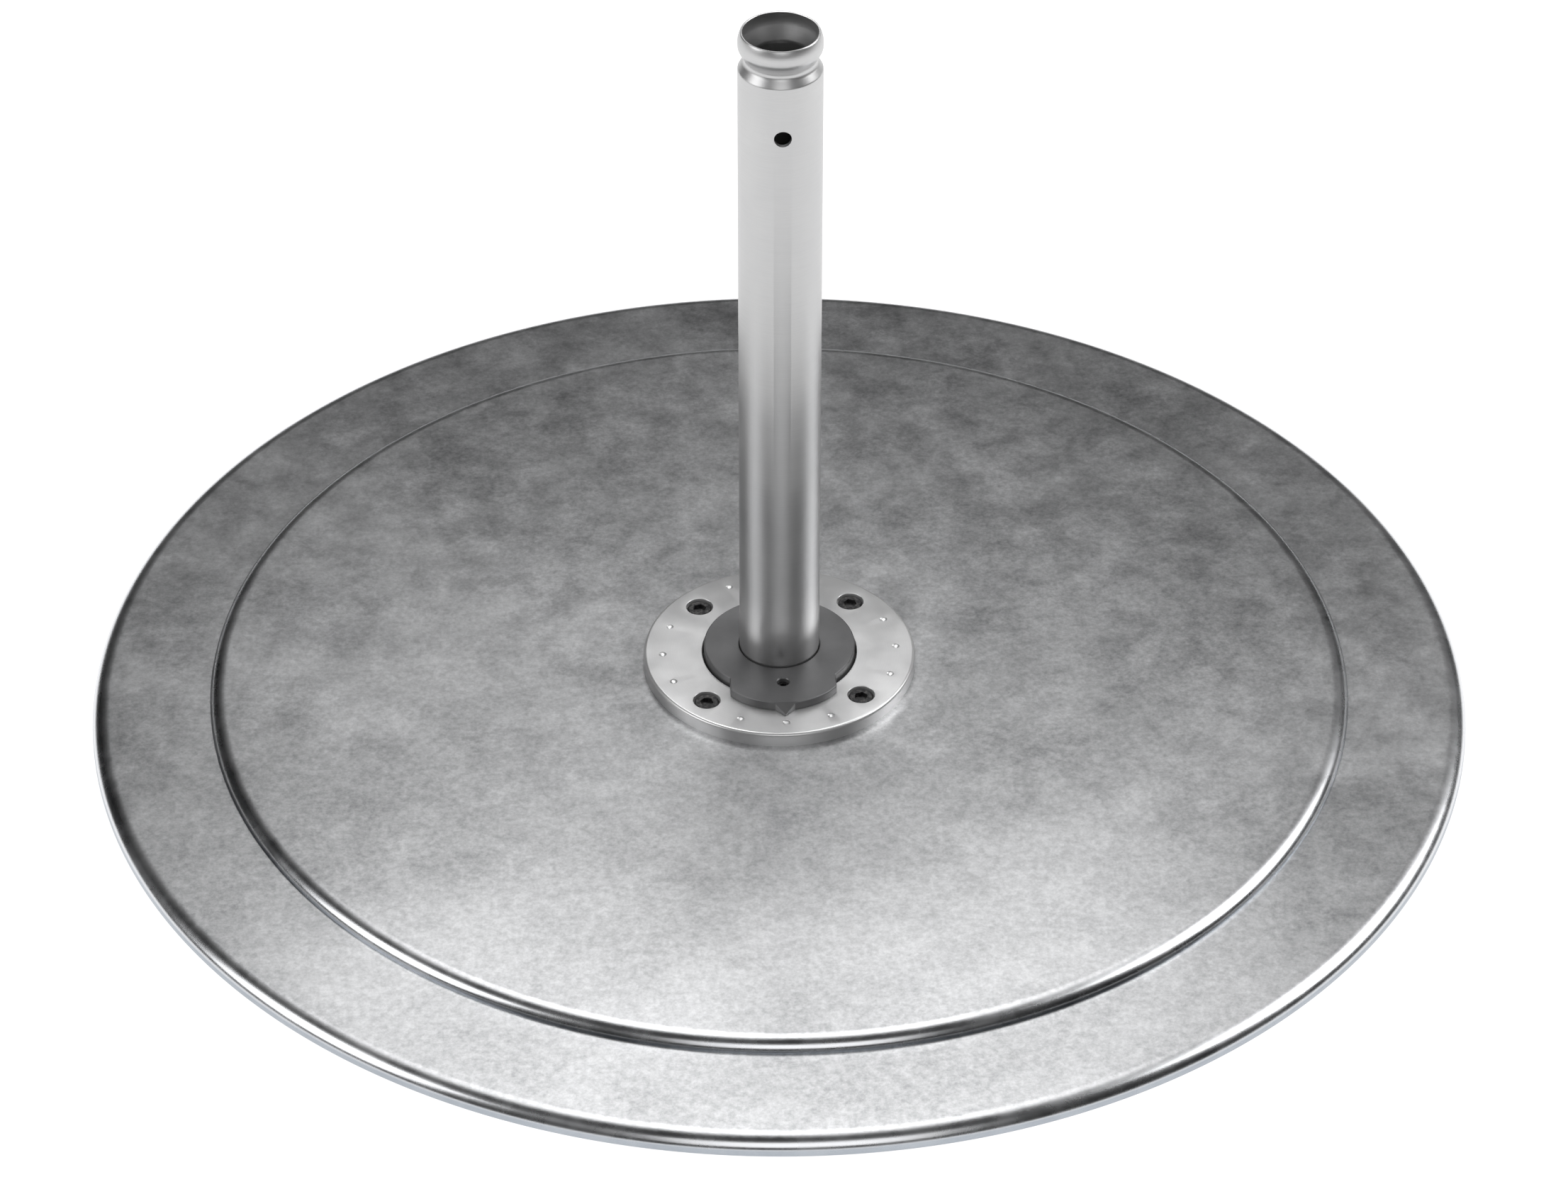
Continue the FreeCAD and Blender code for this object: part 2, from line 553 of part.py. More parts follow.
def hub_cap():
    """Dark casting that stands in the ring, with its front tongue and pointer over the ring."""
    body = new_body("hub_cap")
    revolve(body, "drum", disc("barrel_diameter / 2", FLANGE_TOP, CAP_TOP, "cap_bore / 2"))
    hole = drill(body, "screw_thread", FLANGE_TOP, "hub_screw_diameter + 2 * running_play",
                 "hub_screw_circle / 2", HUB_SCREW_ANGLE,
                 "hub_screw_reach - flange_thickness + end_gap", upward=True)
    repeat(body, "screw_threads", [hole], HUB_SCREWS)
    sketch = new_sketch(body, "tongue_outline", "XY_Plane", CAP_UNDERSIDE, POINTER_ANGLE)
    tongue_outline(sketch)
    tongue = pad(body, "tongue", sketch, "cap_plate")
    soften(body, "rounded_top", tongue, edges_at(tongue.Shape, CAP_TOP), "cap_round")
    sketch = new_sketch(body, "pointer_outline", "XY_Plane", CAP_UNDERSIDE, POINTER_ANGLE)
    pointer_outline(sketch)
    pad(body, "pointer", sketch, "cap_plate")
    sketch = new_sketch(body, "pointer_slope_outline", "YZ_Plane")
    outline_behind(sketch, [("pointer_root", CAP_TOP), ("pointer_reach", f"{CAP_UNDERSIDE} + pointer_tip"),
                            ("pointer_reach + cap_plate", f"{CAP_UNDERSIDE} + pointer_tip"),
                            ("pointer_reach + cap_plate", f"{CAP_TOP} + cap_plate"),
                            ("pointer_root", f"{CAP_TOP} + cap_plate")])
    pocket(body, "pointer_slope", sketch, both_ways=True)
    drill(body, "lock_hole", CAP_TOP, "lock_hole", "lock_offset", POINTER_ANGLE,
          head="lock_countersink", head_style="Countersink")


def pointer_outline(sketch):
    """Triangle of the pointer, symmetric about the sketch's horizontal axis."""
    root, half_width = value("pointer_root"), value("pointer_half_width")
    corners = [Vector(root, -half_width, 0), Vector(value("pointer_reach"), 0, 0), Vector(root, half_width, 0)]
    for side in range(3):
        sketch.addGeometry(Part.LineSegment(corners[side], corners[(side + 1) % 3]), False)
    for side in range(3):
        sketch.addConstraint(Sketcher.Constraint("Coincident", side, END, (side + 1) % 3, START))
    sketch.addConstraint(Sketcher.Constraint("Symmetric", 0, START, 2, START, ROOT))
    pin_point(sketch, 1, START, "pointer_reach", "0")
    drive(sketch, Sketcher.Constraint("DistanceX", ROOT, START, 2, START, root), "pointer_root")
    width = Sketcher.Constraint("DistanceY", 0, START, 2, START, 2 * half_width)
    drive(sketch, width, "2 * pointer_half_width")


def outline_behind(sketch, corners):
    """A closed outline on the sketch's negative horizontal side."""
    points = [Vector(-value(across), value(along), 0) for across, along in corners]
    count = len(points)
    for index, point in enumerate(points):
        sketch.addGeometry(Part.LineSegment(point, points[(index + 1) % count]), False)
    for index in range(count):
        sketch.addConstraint(Sketcher.Constraint("Coincident", index, END, (index + 1) % count, START))
    for index, (across, along) in enumerate(corners):
        back = Sketcher.Constraint("DistanceX", index, START, ROOT, START, value(across))
        drive(sketch, back, across)
        up = Sketcher.Constraint("DistanceY", ROOT, START, index, START, value(along))
        drive(sketch, up, along)


def hub_screws():
    """Countersunk screws that hold the flange and the cap together."""
    body = new_body("hub_screws")
    shank = "hub_screw_diameter / 2"
    head = "hub_head_diameter / 2 - running_play"
    top = f"{FLANGE_BOTTOM} + hub_screw_reach"
    screw = revolve(body, "screw", [
        ("0", FLANGE_BOTTOM), (head, FLANGE_BOTTOM), (shank, f"{FLANGE_BOTTOM} + {head} - {shank}"),
        (shank, top), ("0", top)], offset="hub_screw_circle / 2")
    sketch = new_sketch(body, "socket_outline", "XY_Plane", FLANGE_BOTTOM)
    hexagon(sketch, "hub_socket", "hub_screw_circle / 2")
    socket = pocket(body, "socket", sketch, "2 * hub_socket_depth", both_ways=True)
    repeat(body, "screws", [screw, socket], HUB_SCREWS)
    body.Placement = Placement(Vector(), Rotation(Vector(0, 0, 1), HUB_SCREW_ANGLE))


def spigot_tube():
    """Steel tube with a rolled bead and groove under its rim and a cross hole for a pin."""
    body = new_body("spigot_tube")
    outside, inside = "tube_diameter / 2", "tube_diameter / 2 - tube_wall"
    foot_top = f"{CAP_TOP} + foot_rise"
    tube = revolve(body, "tube", [
        (inside, FLANGE_BOTTOM), (FOOT_RADIUS, FLANGE_BOTTOM), (FOOT_RADIUS, foot_top), (outside, foot_top),
        (outside, "tube_top - shoulder"), ("neck_radius", "tube_top - neck_end"),
        ("neck_radius", "tube_top - neck_start"), (outside, "tube_top - bead_end"),
        (outside, "tube_top - bead_start"), ("rim_radius", "tube_top"), ("rim_radius - lip_wall", "tube_top"),
        (f"{outside} - rolled_wall", "tube_top - bead_start - rolled_slope"),
        (f"{outside} - rolled_wall", "tube_top - bead_end + rolled_slope / 2"),
        ("neck_radius - rolled_wall", "tube_top - neck_start"),
        ("neck_radius - rolled_wall", "tube_top - neck_end"), (inside, "tube_top - shoulder - rolled_slope")])
    bead = rims(tube.Shape, [(outside, "tube_top - bead_end"), (outside, "tube_top - bead_start")])
    rounded = soften(body, "rolled_bead", tube, bead, "bead_round")
    neck = rims(rounded.Shape, [("neck_radius", "tube_top - neck_end"), ("neck_radius", "tube_top - neck_start")])
    rounded = soften(body, "rolled_groove", rounded, neck, "neck_round")
    shoulder = rims(rounded.Shape, [(outside, "tube_top - shoulder")])
    soften(body, "rounded_shoulder", rounded, shoulder, "shoulder_round")
    sketch = new_sketch(body, "cross_hole_outline", "XZ_Plane")
    circle_at(sketch, "cross_hole", "tube_top - cross_hole_drop")
    pocket(body, "cross_hole", sketch, both_ways=True)


def circle_at(sketch, diameter, height):
    """A circle on the sketch's vertical axis."""
    geometry = sketch.addGeometry(
        Part.Circle(Vector(0, value(height), 0), Vector(0, 0, 1), value(diameter) / 2), False)
    pin_point(sketch, geometry, CENTRE, "0", height)
    drive(sketch, Sketcher.Constraint("Diameter", geometry, value(diameter)), diameter)


def lock_parts():
    """Set screw in front of the tube, and the brass pad that it presses on the upper plate."""
    turn = Placement(Vector(), Rotation(Vector(0, 0, 1), POINTER_ANGLE))
    body = new_body("lock_pad")
    revolve(body, "pad", disc("lock_pad_diameter / 2", LOCK_PAD_BOTTOM, LOCK_PAD_TOP), offset="lock_offset")
    body.Placement = turn
    body = new_body("lock_screw")
    revolve(body, "screw", disc("lock_diameter / 2", LOCK_PAD_TOP, LOCK_SCREW_TOP), offset="lock_offset")
    sketch = new_sketch(body, "socket_outline", "XY_Plane", LOCK_SCREW_TOP)
    hexagon(sketch, "lock_socket", "lock_offset")
    pocket(body, "socket", sketch, "lock_socket_depth")
    body.Placement = turn


# ---- build, check and write -----------------------------------------------------------

for build in (lower_plate, upper_plate, plate_screws, foot_pads, foot_pad_screws, index_ring,
              ring_screws, bearings, hub_flange, hub_cap, hub_screws, spigot_tube, lock_parts):
    build()
doc.recompute()

for item in doc.Objects:
    if {"Invalid", "Error"} & set(item.State):
        raise RuntimeError(f"{item.Label} failed: {item.State}")

os.makedirs("parts", exist_ok=True)
for body in bodies:
    shape = body.Shape
    if shape.isNull() or not shape.isValid():
        raise RuntimeError(f"{body.Label} has no valid shape")
    shape.exportStep(f"parts/{body.Label}.step")
    print(f"{body.Label}: {len(shape.Solids)} solid(s), {shape.Volume / 1000:.2f} cm3")
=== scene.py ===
"""Looks of the two-tier parasol base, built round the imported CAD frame.  Lengths are in metres."""
import json
import math

import bmesh
import bpy
from mathutils import Matrix, Vector


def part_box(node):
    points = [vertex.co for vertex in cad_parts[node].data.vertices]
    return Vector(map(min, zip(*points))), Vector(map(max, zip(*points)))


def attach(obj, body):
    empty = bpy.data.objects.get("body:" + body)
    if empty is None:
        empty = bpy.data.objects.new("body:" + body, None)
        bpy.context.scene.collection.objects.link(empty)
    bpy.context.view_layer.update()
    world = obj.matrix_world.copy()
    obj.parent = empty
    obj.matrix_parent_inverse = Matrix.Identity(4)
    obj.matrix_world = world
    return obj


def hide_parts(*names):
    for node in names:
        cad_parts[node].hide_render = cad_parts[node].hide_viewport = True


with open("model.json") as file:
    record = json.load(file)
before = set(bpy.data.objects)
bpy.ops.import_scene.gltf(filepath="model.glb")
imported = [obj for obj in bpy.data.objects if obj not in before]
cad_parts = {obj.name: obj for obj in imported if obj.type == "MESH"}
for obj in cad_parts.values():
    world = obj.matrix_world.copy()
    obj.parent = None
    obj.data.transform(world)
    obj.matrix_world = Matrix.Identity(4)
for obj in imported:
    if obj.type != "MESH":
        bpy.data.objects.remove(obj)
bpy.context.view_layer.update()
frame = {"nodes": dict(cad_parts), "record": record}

NODES = frame["nodes"]


# ---- material helpers -----------------------------------------------------------------

class Look:
    """A node material with one Principled shader and short helpers for its nodes."""

    def __init__(self, name, roughness, metallic=1.0, **sockets):
        self.material = bpy.data.materials.new(name)
        self.material.use_nodes = True
        self.tree = self.material.node_tree
        self.shader = self.tree.nodes["Principled BSDF"]
        self.shader.inputs["Metallic"].default_value = metallic
        self.shader.inputs["Roughness"].default_value = roughness
        for socket, value in sockets.items():
            self.shader.inputs[socket.replace("_", " ").title()].default_value = value
        self.coordinates = self.node("ShaderNodeTexCoord")
        self.place = self.coordinates.outputs["Object"]
        self.heights = []

    def node(self, kind, **settings):
        made = self.tree.nodes.new(kind)
        for key, value in settings.items():
            setattr(made, key, value)
        return made

    def link(self, source, target):
        self.tree.links.new(source, target)

    def stretched(self, scale):
        mapping = self.node("ShaderNodeMapping")
        mapping.inputs["Scale"].default_value = scale
        self.link(self.place, mapping.inputs["Vector"])
        return mapping.outputs["Vector"]

    def noise(self, scale, detail=4.0, roughness=0.5, distortion=0.0, vector=None):
        made = self.node("ShaderNodeTexNoise")
        made.inputs["Scale"].default_value = scale
        made.inputs["Detail"].default_value = detail
        made.inputs["Roughness"].default_value = roughness
        made.inputs["Distortion"].default_value = distortion
        self.link(vector or self.place, made.inputs["Vector"])
        return made.outputs["Fac"]

    def ramp(self, factor, *stops):
        made = self.node("ShaderNodeValToRGB")
        elements = made.color_ramp.elements
        while len(elements) < len(stops):
            elements.new(0.5)
        for element, (position, colour) in zip(elements, stops):
            element.position = position
            element.color = (*colour, 1.0) if isinstance(colour, tuple) else (colour,) * 3 + (1.0,)
        self.link(factor, made.inputs["Fac"])
        return made.outputs["Color"]

    def spread(self, factor, low_in, high_in, low_out, high_out):
        made = self.node("ShaderNodeMapRange")
        for socket, value in zip(("From Min", "From Max", "To Min", "To Max"),
                                 (low_in, high_in, low_out, high_out)):
            made.inputs[socket].default_value = value
        self.link(factor, made.inputs["Value"])
        return made.outputs["Result"]

    def maths(self, operation, first, second=0.5):
        made = self.node("ShaderNodeMath", operation=operation)
        for socket, value in zip(made.inputs, (first, second)):
            if isinstance(value, (int, float)):
                socket.default_value = value
            else:
                self.link(value, socket)
        return made.outputs["Value"]

    def mix(self, factor, first, second):
        made = self.node("ShaderNodeMix", data_type="RGBA")
        colours = [socket for socket in made.inputs if socket.type == "RGBA"]
        if isinstance(factor, (int, float)):
            made.inputs["Factor"].default_value = factor
        else:
            self.link(factor, made.inputs["Factor"])
        for socket, value in zip(colours, (first, second)):
            if isinstance(value, tuple):
                socket.default_value = (*value, 1.0)
            else:
                self.link(value, socket)
        return next(socket for socket in made.outputs if socket.type == "RGBA")

    def slope(self):
        """How far the surface is turned away from level: 0 on flat tops, 1 on walls and roundings."""
        split = self.node("ShaderNodeSeparateXYZ")
        self.link(self.coordinates.outputs["Normal"], split.inputs["Vector"])
        return self.spread(self.maths("ABSOLUTE", split.outputs["Z"]), 0.90, 0.998, 1.0, 0.0)

    def upright(self):
        """How nearly the surface stands upright or hangs over: 0 on tops and upper roundings, 1 on walls."""
        split = self.node("ShaderNodeSeparateXYZ")
        self.link(self.coordinates.outputs["Normal"], split.inputs["Vector"])
        return self.spread(split.outputs["Z"], 0.20, 0.50, 1.0, 0.0)

    def axes(self):
        made = self.node("ShaderNodeSeparateXYZ")
        self.link(self.place, made.inputs["Vector"])
        return made.outputs

    def turned_about_z(self):
        """Highlights run as on a piece that was turned in a lathe about Z."""
        tangent = self.node("ShaderNodeTangent", direction_type="RADIAL", axis="Z")
        self.link(tangent.outputs["Tangent"], self.shader.inputs["Tangent"])

    def colour(self, source):
        self.link(source, self.shader.inputs["Base Color"])

    def roughness(self, source):
        self.link(source, self.shader.inputs["Roughness"])

    def bump(self, source, distance, strength=1.0):
        made = self.node("ShaderNodeBump")
        made.inputs["Distance"].default_value = distance
        made.inputs["Strength"].default_value = strength
        self.link(source, made.inputs["Height"])
        if self.heights:
            self.link(self.heights[-1], made.inputs["Normal"])
        self.heights.append(made.outputs["Normal"])
        self.link(made.outputs["Normal"], self.shader.inputs["Normal"])


# ---- materials ------------------------------------------------------------------------

def galvanised():
    """Dull hot-dip zinc: wide soft clouds over a fine sandy grain, smooth on the rims, with a painted highlight
    on the rim roundings and painted shade on the rim walls.
    """
    look = Look("galvanised_steel", 0.38, 1.0)
    rim = look.slope()
    clouds = look.noise(3.4, 3.0, 0.45, 1.1)
    mottle = look.noise(34.0, 7.0, 0.66, 0.3)
    grain = look.noise(240.0, 4.0, 0.7)
    tone = look.ramp(clouds, (0.36, (0.36, 0.367, 0.38)), (0.50, (0.49, 0.497, 0.512)),
                     (0.64, (0.64, 0.647, 0.663)))
    mottled = look.mix(0.30, tone, look.ramp(mottle, (0.3, 0.26), (0.7, 0.78)))
    flat = look.mix(0.26, mottled, look.ramp(grain, (0.32, 0.16), (0.68, 0.92)))
    # Painted light on the rims: a pale copy of the zinc on the upper roundings stands for a highlight, and a
    # dark copy on the walls and undersides stands for shade.
    painted_rim_highlight = look.ramp(mottle, (0.3, (0.74, 0.75, 0.77)), (0.7, (0.84, 0.85, 0.87)))
    painted_wall_shade = look.ramp(mottle, (0.3, (0.38, 0.41, 0.45)), (0.7, (0.46, 0.49, 0.53)))
    painted_rim_light = look.mix(look.upright(), painted_rim_highlight, painted_wall_shade)
    look.colour(look.mix(rim, flat, painted_rim_light))
    dull = look.spread(mottle, 0.3, 0.7, 0.34, 0.42)
    look.roughness(look.maths("SUBTRACT", dull, look.maths("MULTIPLY", rim, 0.11)))
    look.bump(clouds, 0.0008, 0.25)
    away_from_rim = look.maths("SUBTRACT", 1.0, look.maths("MULTIPLY", rim, 0.85))
    look.bump(look.maths("MULTIPLY", grain, away_from_rim), 0.00008, 0.30)
    return look.material


def machined_ring():
    """Satin aluminium with fine turning marks round the ring's axis."""
    look = Look("ring_aluminium", 0.36, 0.65, anisotropic=0.4)
    look.turned_about_z()
    x, y, _ = look.axes()
    radius = look.maths("SQRT", look.maths("ADD", look.maths("POWER", x, 2.0), look.maths("POWER", y, 2.0)))
    rings = look.node("ShaderNodeTexNoise", noise_dimensions="1D")
    look.link(radius, rings.inputs["W"])
    rings.inputs["Scale"].default_value = 2600.0
    rings.inputs["Detail"].default_value = 2.0
    haze = look.noise(40.0, 4.0, 0.55)
    base = look.ramp(haze, (0.3, (0.74, 0.74, 0.745)), (0.7, (0.83, 0.83, 0.83)))
    look.colour(look.mix(0.12, base, look.ramp(rings.outputs["Fac"], (0.3, 0.6), (0.7, 0.9))))
    look.roughness(look.spread(haze, 0.3, 0.7, 0.29, 0.37))
    look.bump(rings.outputs["Fac"], 0.00002, 0.3)
    return look.material


def satin_tube():
    """Satin ground tube: very fine lines round it over a soft haze."""
    look = Look("tube_steel", 0.35, 0.85, anisotropic=0.4)
    look.turned_about_z()
    lines = look.noise(2400.0, 3.0, 0.6, vector=look.stretched((0.02, 0.02, 1.0)))
    haze = look.noise(18.0, 4.0, 0.5)
    base = look.ramp(haze, (0.3, (0.55, 0.55, 0.555)), (0.7, (0.61, 0.61, 0.61)))
    look.colour(look.mix(0.08, base, look.ramp(lines, (0.35, 0.6), (0.65, 0.9))))
    look.roughness(look.spread(haze, 0.3, 0.7, 0.32, 0.38))
    look.bump(lines, 0.00001, 0.2)
    return look.material


def dark_casting():
    """Dark grey powder coat with a fine orange-peel texture."""
    look = Look("dark_casting", 0.42, 0.5)
    peel = look.noise(700.0, 2.0, 0.5)
    haze = look.noise(30.0, 4.0, 0.55)
    look.colour(look.ramp(haze, (0.3, (0.16, 0.16, 0.163)), (0.7, (0.21, 0.21, 0.213))))
    look.roughness(look.spread(haze, 0.3, 0.7, 0.36, 0.46))
    look.bump(peel, 0.00008, 0.3)
    return look.material


def black_steel():
    """Black oxide on steel, slightly brown and worn brighter in places."""
    look = Look("black_steel", 0.4, 0.8)
    wear = look.noise(500.0, 4.0, 0.6)
    look.colour(look.ramp(wear, (0.45, (0.05, 0.05, 0.052)), (0.75, (0.16, 0.155, 0.15))))
    look.roughness(look.spread(wear, 0.3, 0.7, 0.3, 0.5))
    look.bump(wear, 0.00003, 0.3)
    return look.material


def zinc_steel():
    """Bright zinc plate with a faint bluish and yellowish bloom."""
    look = Look("zinc_steel", 0.3, 1.0)
    bloom = look.noise(90.0, 3.0, 0.5)
    look.colour(look.ramp(bloom, (0.3, (0.58, 0.60, 0.64)), (0.7, (0.70, 0.68, 0.62))))
    look.roughness(look.spread(bloom, 0.3, 0.7, 0.25, 0.4))
    look.bump(look.noise(1200.0, 2.0), 0.00002, 0.3)
    return look.material


def plastic():
    """Natural acetal."""
    look = Look("bearing_plastic", 0.5, 0.0)
    cloud = look.noise(60.0, 3.0, 0.5)
    look.colour(look.ramp(cloud, (0.3, (0.74, 0.73, 0.69)), (0.7, (0.82, 0.81, 0.77))))
    look.roughness(look.spread(cloud, 0.3, 0.7, 0.42, 0.55))
    look.bump(look.noise(900.0, 2.0), 0.00003, 0.3)
    return look.material


def rubber(name, tone):
    """Black moulded rubber with a fine matt grain."""
    look = Look(name, 0.75, 0.0)
    dust = look.noise(120.0, 5.0, 0.6)
    look.colour(look.ramp(dust, (0.35, tone), (0.75, tone * 1.8)))
    look.roughness(look.spread(dust, 0.3, 0.7, 0.65, 0.85))
    look.bump(look.noise(1500.0, 3.0, 0.6), 0.00006, 0.4)
    return look.material


def brass():
    """Turned brass, slightly tarnished."""
    look = Look("pad_brass", 0.3, 1.0)
    tarnish = look.noise(300.0, 4.0, 0.6)
    look.colour(look.ramp(tarnish, (0.3, (0.42, 0.30, 0.12)), (0.7, (0.74, 0.58, 0.28))))
    look.roughness(look.spread(tarnish, 0.3, 0.7, 0.28, 0.45))
    look.bump(tarnish, 0.00002, 0.3)
    return look.material


LOOKS = {
    "galvanised_steel": galvanised(),
    "ring_aluminium": machined_ring(),
    "tube_steel": satin_tube(),
    "dark_casting": dark_casting(),
    "black_steel": black_steel(),
    "zinc_steel": zinc_steel(),
    "bearing_plastic": plastic(),
    "pad_rubber": rubber("pad_rubber", 0.018),
    "seal_rubber": rubber("seal_rubber", 0.010),
    "pad_brass": brass(),
}


SLOTS = {part["node"]: part["material_slot"] for part in frame["record"]["subparts"]}


def dress_frame():
    """Give every CAD node the look of its own material slot."""
    for name, node in NODES.items():
        for slot in node.material_slots:
            slot.material = LOOKS[SLOTS[name]]


# ---- fine meshes ----------------------------------------------------------------------

MM = 0.001
SMOOTH_BELOW = math.radians(32)


def arc(radius_at, height_at, radius, start, end, steps=10, tall=None):
    """Profile points (radius, height) along an arc, with angles in degrees from outwards.  With tall it is
    an ellipse of that height."""
    points = []
    for step in range(steps + 1):
        angle = math.radians(start + (end - start) * step / steps)
        points.append((radius_at + radius * math.cos(angle), height_at + (tall or radius) * math.sin(angle)))
    return points


def turned(name, profile, segments, closed=False):
    """Solid of revolution about Z from (radius, height) points, listed upwards on the outside."""
    work = bmesh.new()
    rings = []
    for radius, height in profile:
        if radius < 1e-7:
            rings.append([work.verts.new((0, 0, height))] * segments)
            continue
        rings.append([work.verts.new((radius * math.cos(turn), radius * math.sin(turn), height))
                      for turn in (2 * math.pi * step / segments for step in range(segments))])
    pairs = list(zip(rings, rings[1:])) + ([(rings[-1], rings[0])] if closed else [])
    for low, high in pairs:
        for step in range(segments):
            following = (step + 1) % segments
            corners = [low[step], low[following], high[following], high[step]]
            work.faces.new(list(dict.fromkeys(corners)))
    mesh = bpy.data.meshes.new(name)
    work.to_mesh(mesh)
    work.free()
    made = bpy.data.objects.new(name, mesh)
    bpy.context.scene.collection.objects.link(made)
    return made


def carve(piece, cutters):
    """Cut the cutters out of a piece and remove them."""
    for cutter in cutters:
        cut = piece.modifiers.new("cut", "BOOLEAN")
        cut.operation, cut.solver, cut.object = "DIFFERENCE", "EXACT", cutter
    bpy.context.view_layer.update()
    plain = piece.data
    piece.data = bpy.data.meshes.new_from_object(piece.evaluated_get(bpy.context.evaluated_depsgraph_get()))
    piece.modifiers.clear()
    bpy.data.meshes.remove(plain)
    for cutter in cutters:
        bpy.data.objects.remove(cutter)


def placed(cutter, circle, angle):
    """Move a cutter onto a circle about Z."""
    turn = math.radians(angle)
    cutter.location = (circle * math.cos(turn), circle * math.sin(turn), 0)
    return cutter


def stands_for(piece, node, body):
    """Finish a fine mesh that is shown in place of a CAD node."""
    piece.data.polygons.foreach_set("use_smooth", [True] * len(piece.data.polygons))
    piece.data.set_sharp_from_angle(angle=SMOOTH_BELOW)
    piece.data.materials.clear()
    piece.data.materials.append(LOOKS[SLOTS[node]])
    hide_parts(node)
    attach(piece, body)


def extent(node):
    """(radius, bottom, top) of a round CAD node about Z."""
    low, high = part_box(node)
    return (high[0] - low[0]) / 2, low[2], high[2]


def fine_lower_plate():
    radius, bottom, top = extent("lower_plate")
    under, rim, wide = 3.0 * MM, 8.5 * MM, 12.0 * MM
    profile = [(0, bottom), (radius * 0.5, bottom)] + arc(radius - under, bottom + under, under, -90, 0) + arc(
        radius - wide, top - rim, wide, 0, 90, 16, rim) + [(radius * 0.5, top), (0, top)]
    piece = turned("lower_plate_fine", profile, 360)
    low = bottom - 1 * MM
    pad_circle, pad_radius, pad_top = 400 * MM, 22 * MM, 6 * MM
    sink_circle, sink_mouth, sink_end = 300 * MM, 11 * MM, 5.05 * MM
    sink_top = low + sink_mouth - sink_end
    cutters = []
    for turn in range(0, 360, 60):
        pad = turned("pad_pocket", [(0, low), (pad_radius, low), (pad_radius, pad_top), (0, pad_top)], 64)
        cutters.append(placed(pad, pad_circle, turn + 30))
        sink = turned("sink", [(0, low), (sink_mouth, low), (sink_end, sink_top), (0, sink_top)], 48)
        cutters.append(placed(sink, sink_circle, turn))
    carve(piece, cutters)
    stands_for(piece, "lower_plate", "base")


def fine_upper_plate():
    radius, bottom, top = extent("upper_plate")
    rim, wide = 7.5 * MM, 11.0 * MM
    profile = [(0, bottom), (radius, bottom)] + arc(radius - wide, top - rim, wide, 0, 90, 16, rim) + [
        (radius * 0.5, top), (0, top)]
    stands_for(turned("upper_plate_fine", profile, 360), "upper_plate", "base")


def fine_ring():
    radius, bottom, top = extent("index_ring")
    bore, recess, chamfer, rim = 51.5 * MM, 60.5 * MM, 0.4 * MM, 2.2 * MM
    lip = top - 3.8 * MM
    profile = [(recess, bottom), (radius, bottom)] + arc(radius - rim, top - rim, rim, 0, 90, 8) + [
        (bore + chamfer, top), (bore, top - chamfer), (bore, lip), (recess, lip)]
    piece = turned("index_ring_fine", profile, 240, closed=True)
    above, below, floor = top + 1 * MM, bottom - 1 * MM, top - 6.4 * MM
    screw_circle, screw_hole, counterbore, bevel = 72 * MM, 5.5 * MM, 9 * MM, 0.25 * MM
    screw_seat = [(0, below), (screw_hole, below), (screw_hole, floor), (counterbore, floor),
                  (counterbore, top - bevel), (counterbore + bevel, top), (counterbore + bevel, above),
                  (0, above)]
    mark_circle, mark_radius, mark_pitch = 77.75 * MM, 2.5 * MM, 22.5
    cone = [(0, top - 1.8 * MM), (mark_radius, top - 0.3 * MM), (mark_radius, above), (0, above)]
    cutters = []
    for turn in range(0, 360, 90):
        cutters.append(placed(turned("bore", screw_seat, 64), screw_circle, turn + 45))
        for mark in (-mark_pitch, 0, mark_pitch):
            cutters.append(placed(turned("mark", cone, 40), mark_circle, turn + mark))
    carve(piece, cutters)
    stands_for(piece, "index_ring", "base")


def fine_tube():
    """Tube with a turned foot, a rolled bead and groove under its rim, and a cross hole.

    The outline is (radius, distance below the rim) in millimetres, up the outside and down the bore."""
    _, bottom, top = extent("spigot_tube")
    foot = (top - bottom) / MM
    shape = [(23.5, foot), (26.1, foot), (26.1, 468.9), (26.5, 468.9), (26.5, 26.3), (26.4, 25.7), (26.0, 25.0),
             (23.6, 21.9), (22.9, 20.8), (22.6, 19.8), (22.6, 18.4), (22.9, 17.3), (23.6, 16.2), (25.3, 13.0),
             (26.0, 11.6), (26.4, 10.1), (26.5, 8.6), (26.5, 6.4), (26.3, 4.9), (25.9, 3.4), (25.4, 1.9),
             (25.0, 0.9), (24.7, 0.3), (24.4, 0.05), (24.0, 0.0), (23.6, 0.12), (23.4, 0.4), (24.1, 3.0),
             (24.1, 10.0), (20.2, 17.5), (20.2, 20.5), (23.5, 26.5)]
    profile = [(radius * MM, top - drop * MM) for radius, drop in shape]
    piece = turned("spigot_tube_fine", profile, 192, closed=True)
    hole_radius, hole_drop, through = 5.5 * MM, 61 * MM, 30 * MM
    hole = turned("hole", [(0, -through), (hole_radius, -through), (hole_radius, through), (0, through)], 48)
    hole.rotation_euler = (math.radians(90), 0, 0)
    hole.location = (0, 0, top - hole_drop)
    carve(piece, [hole])
    stands_for(piece, "spigot_tube", "hub")


# ---- stage ----------------------------------------------------------------------------

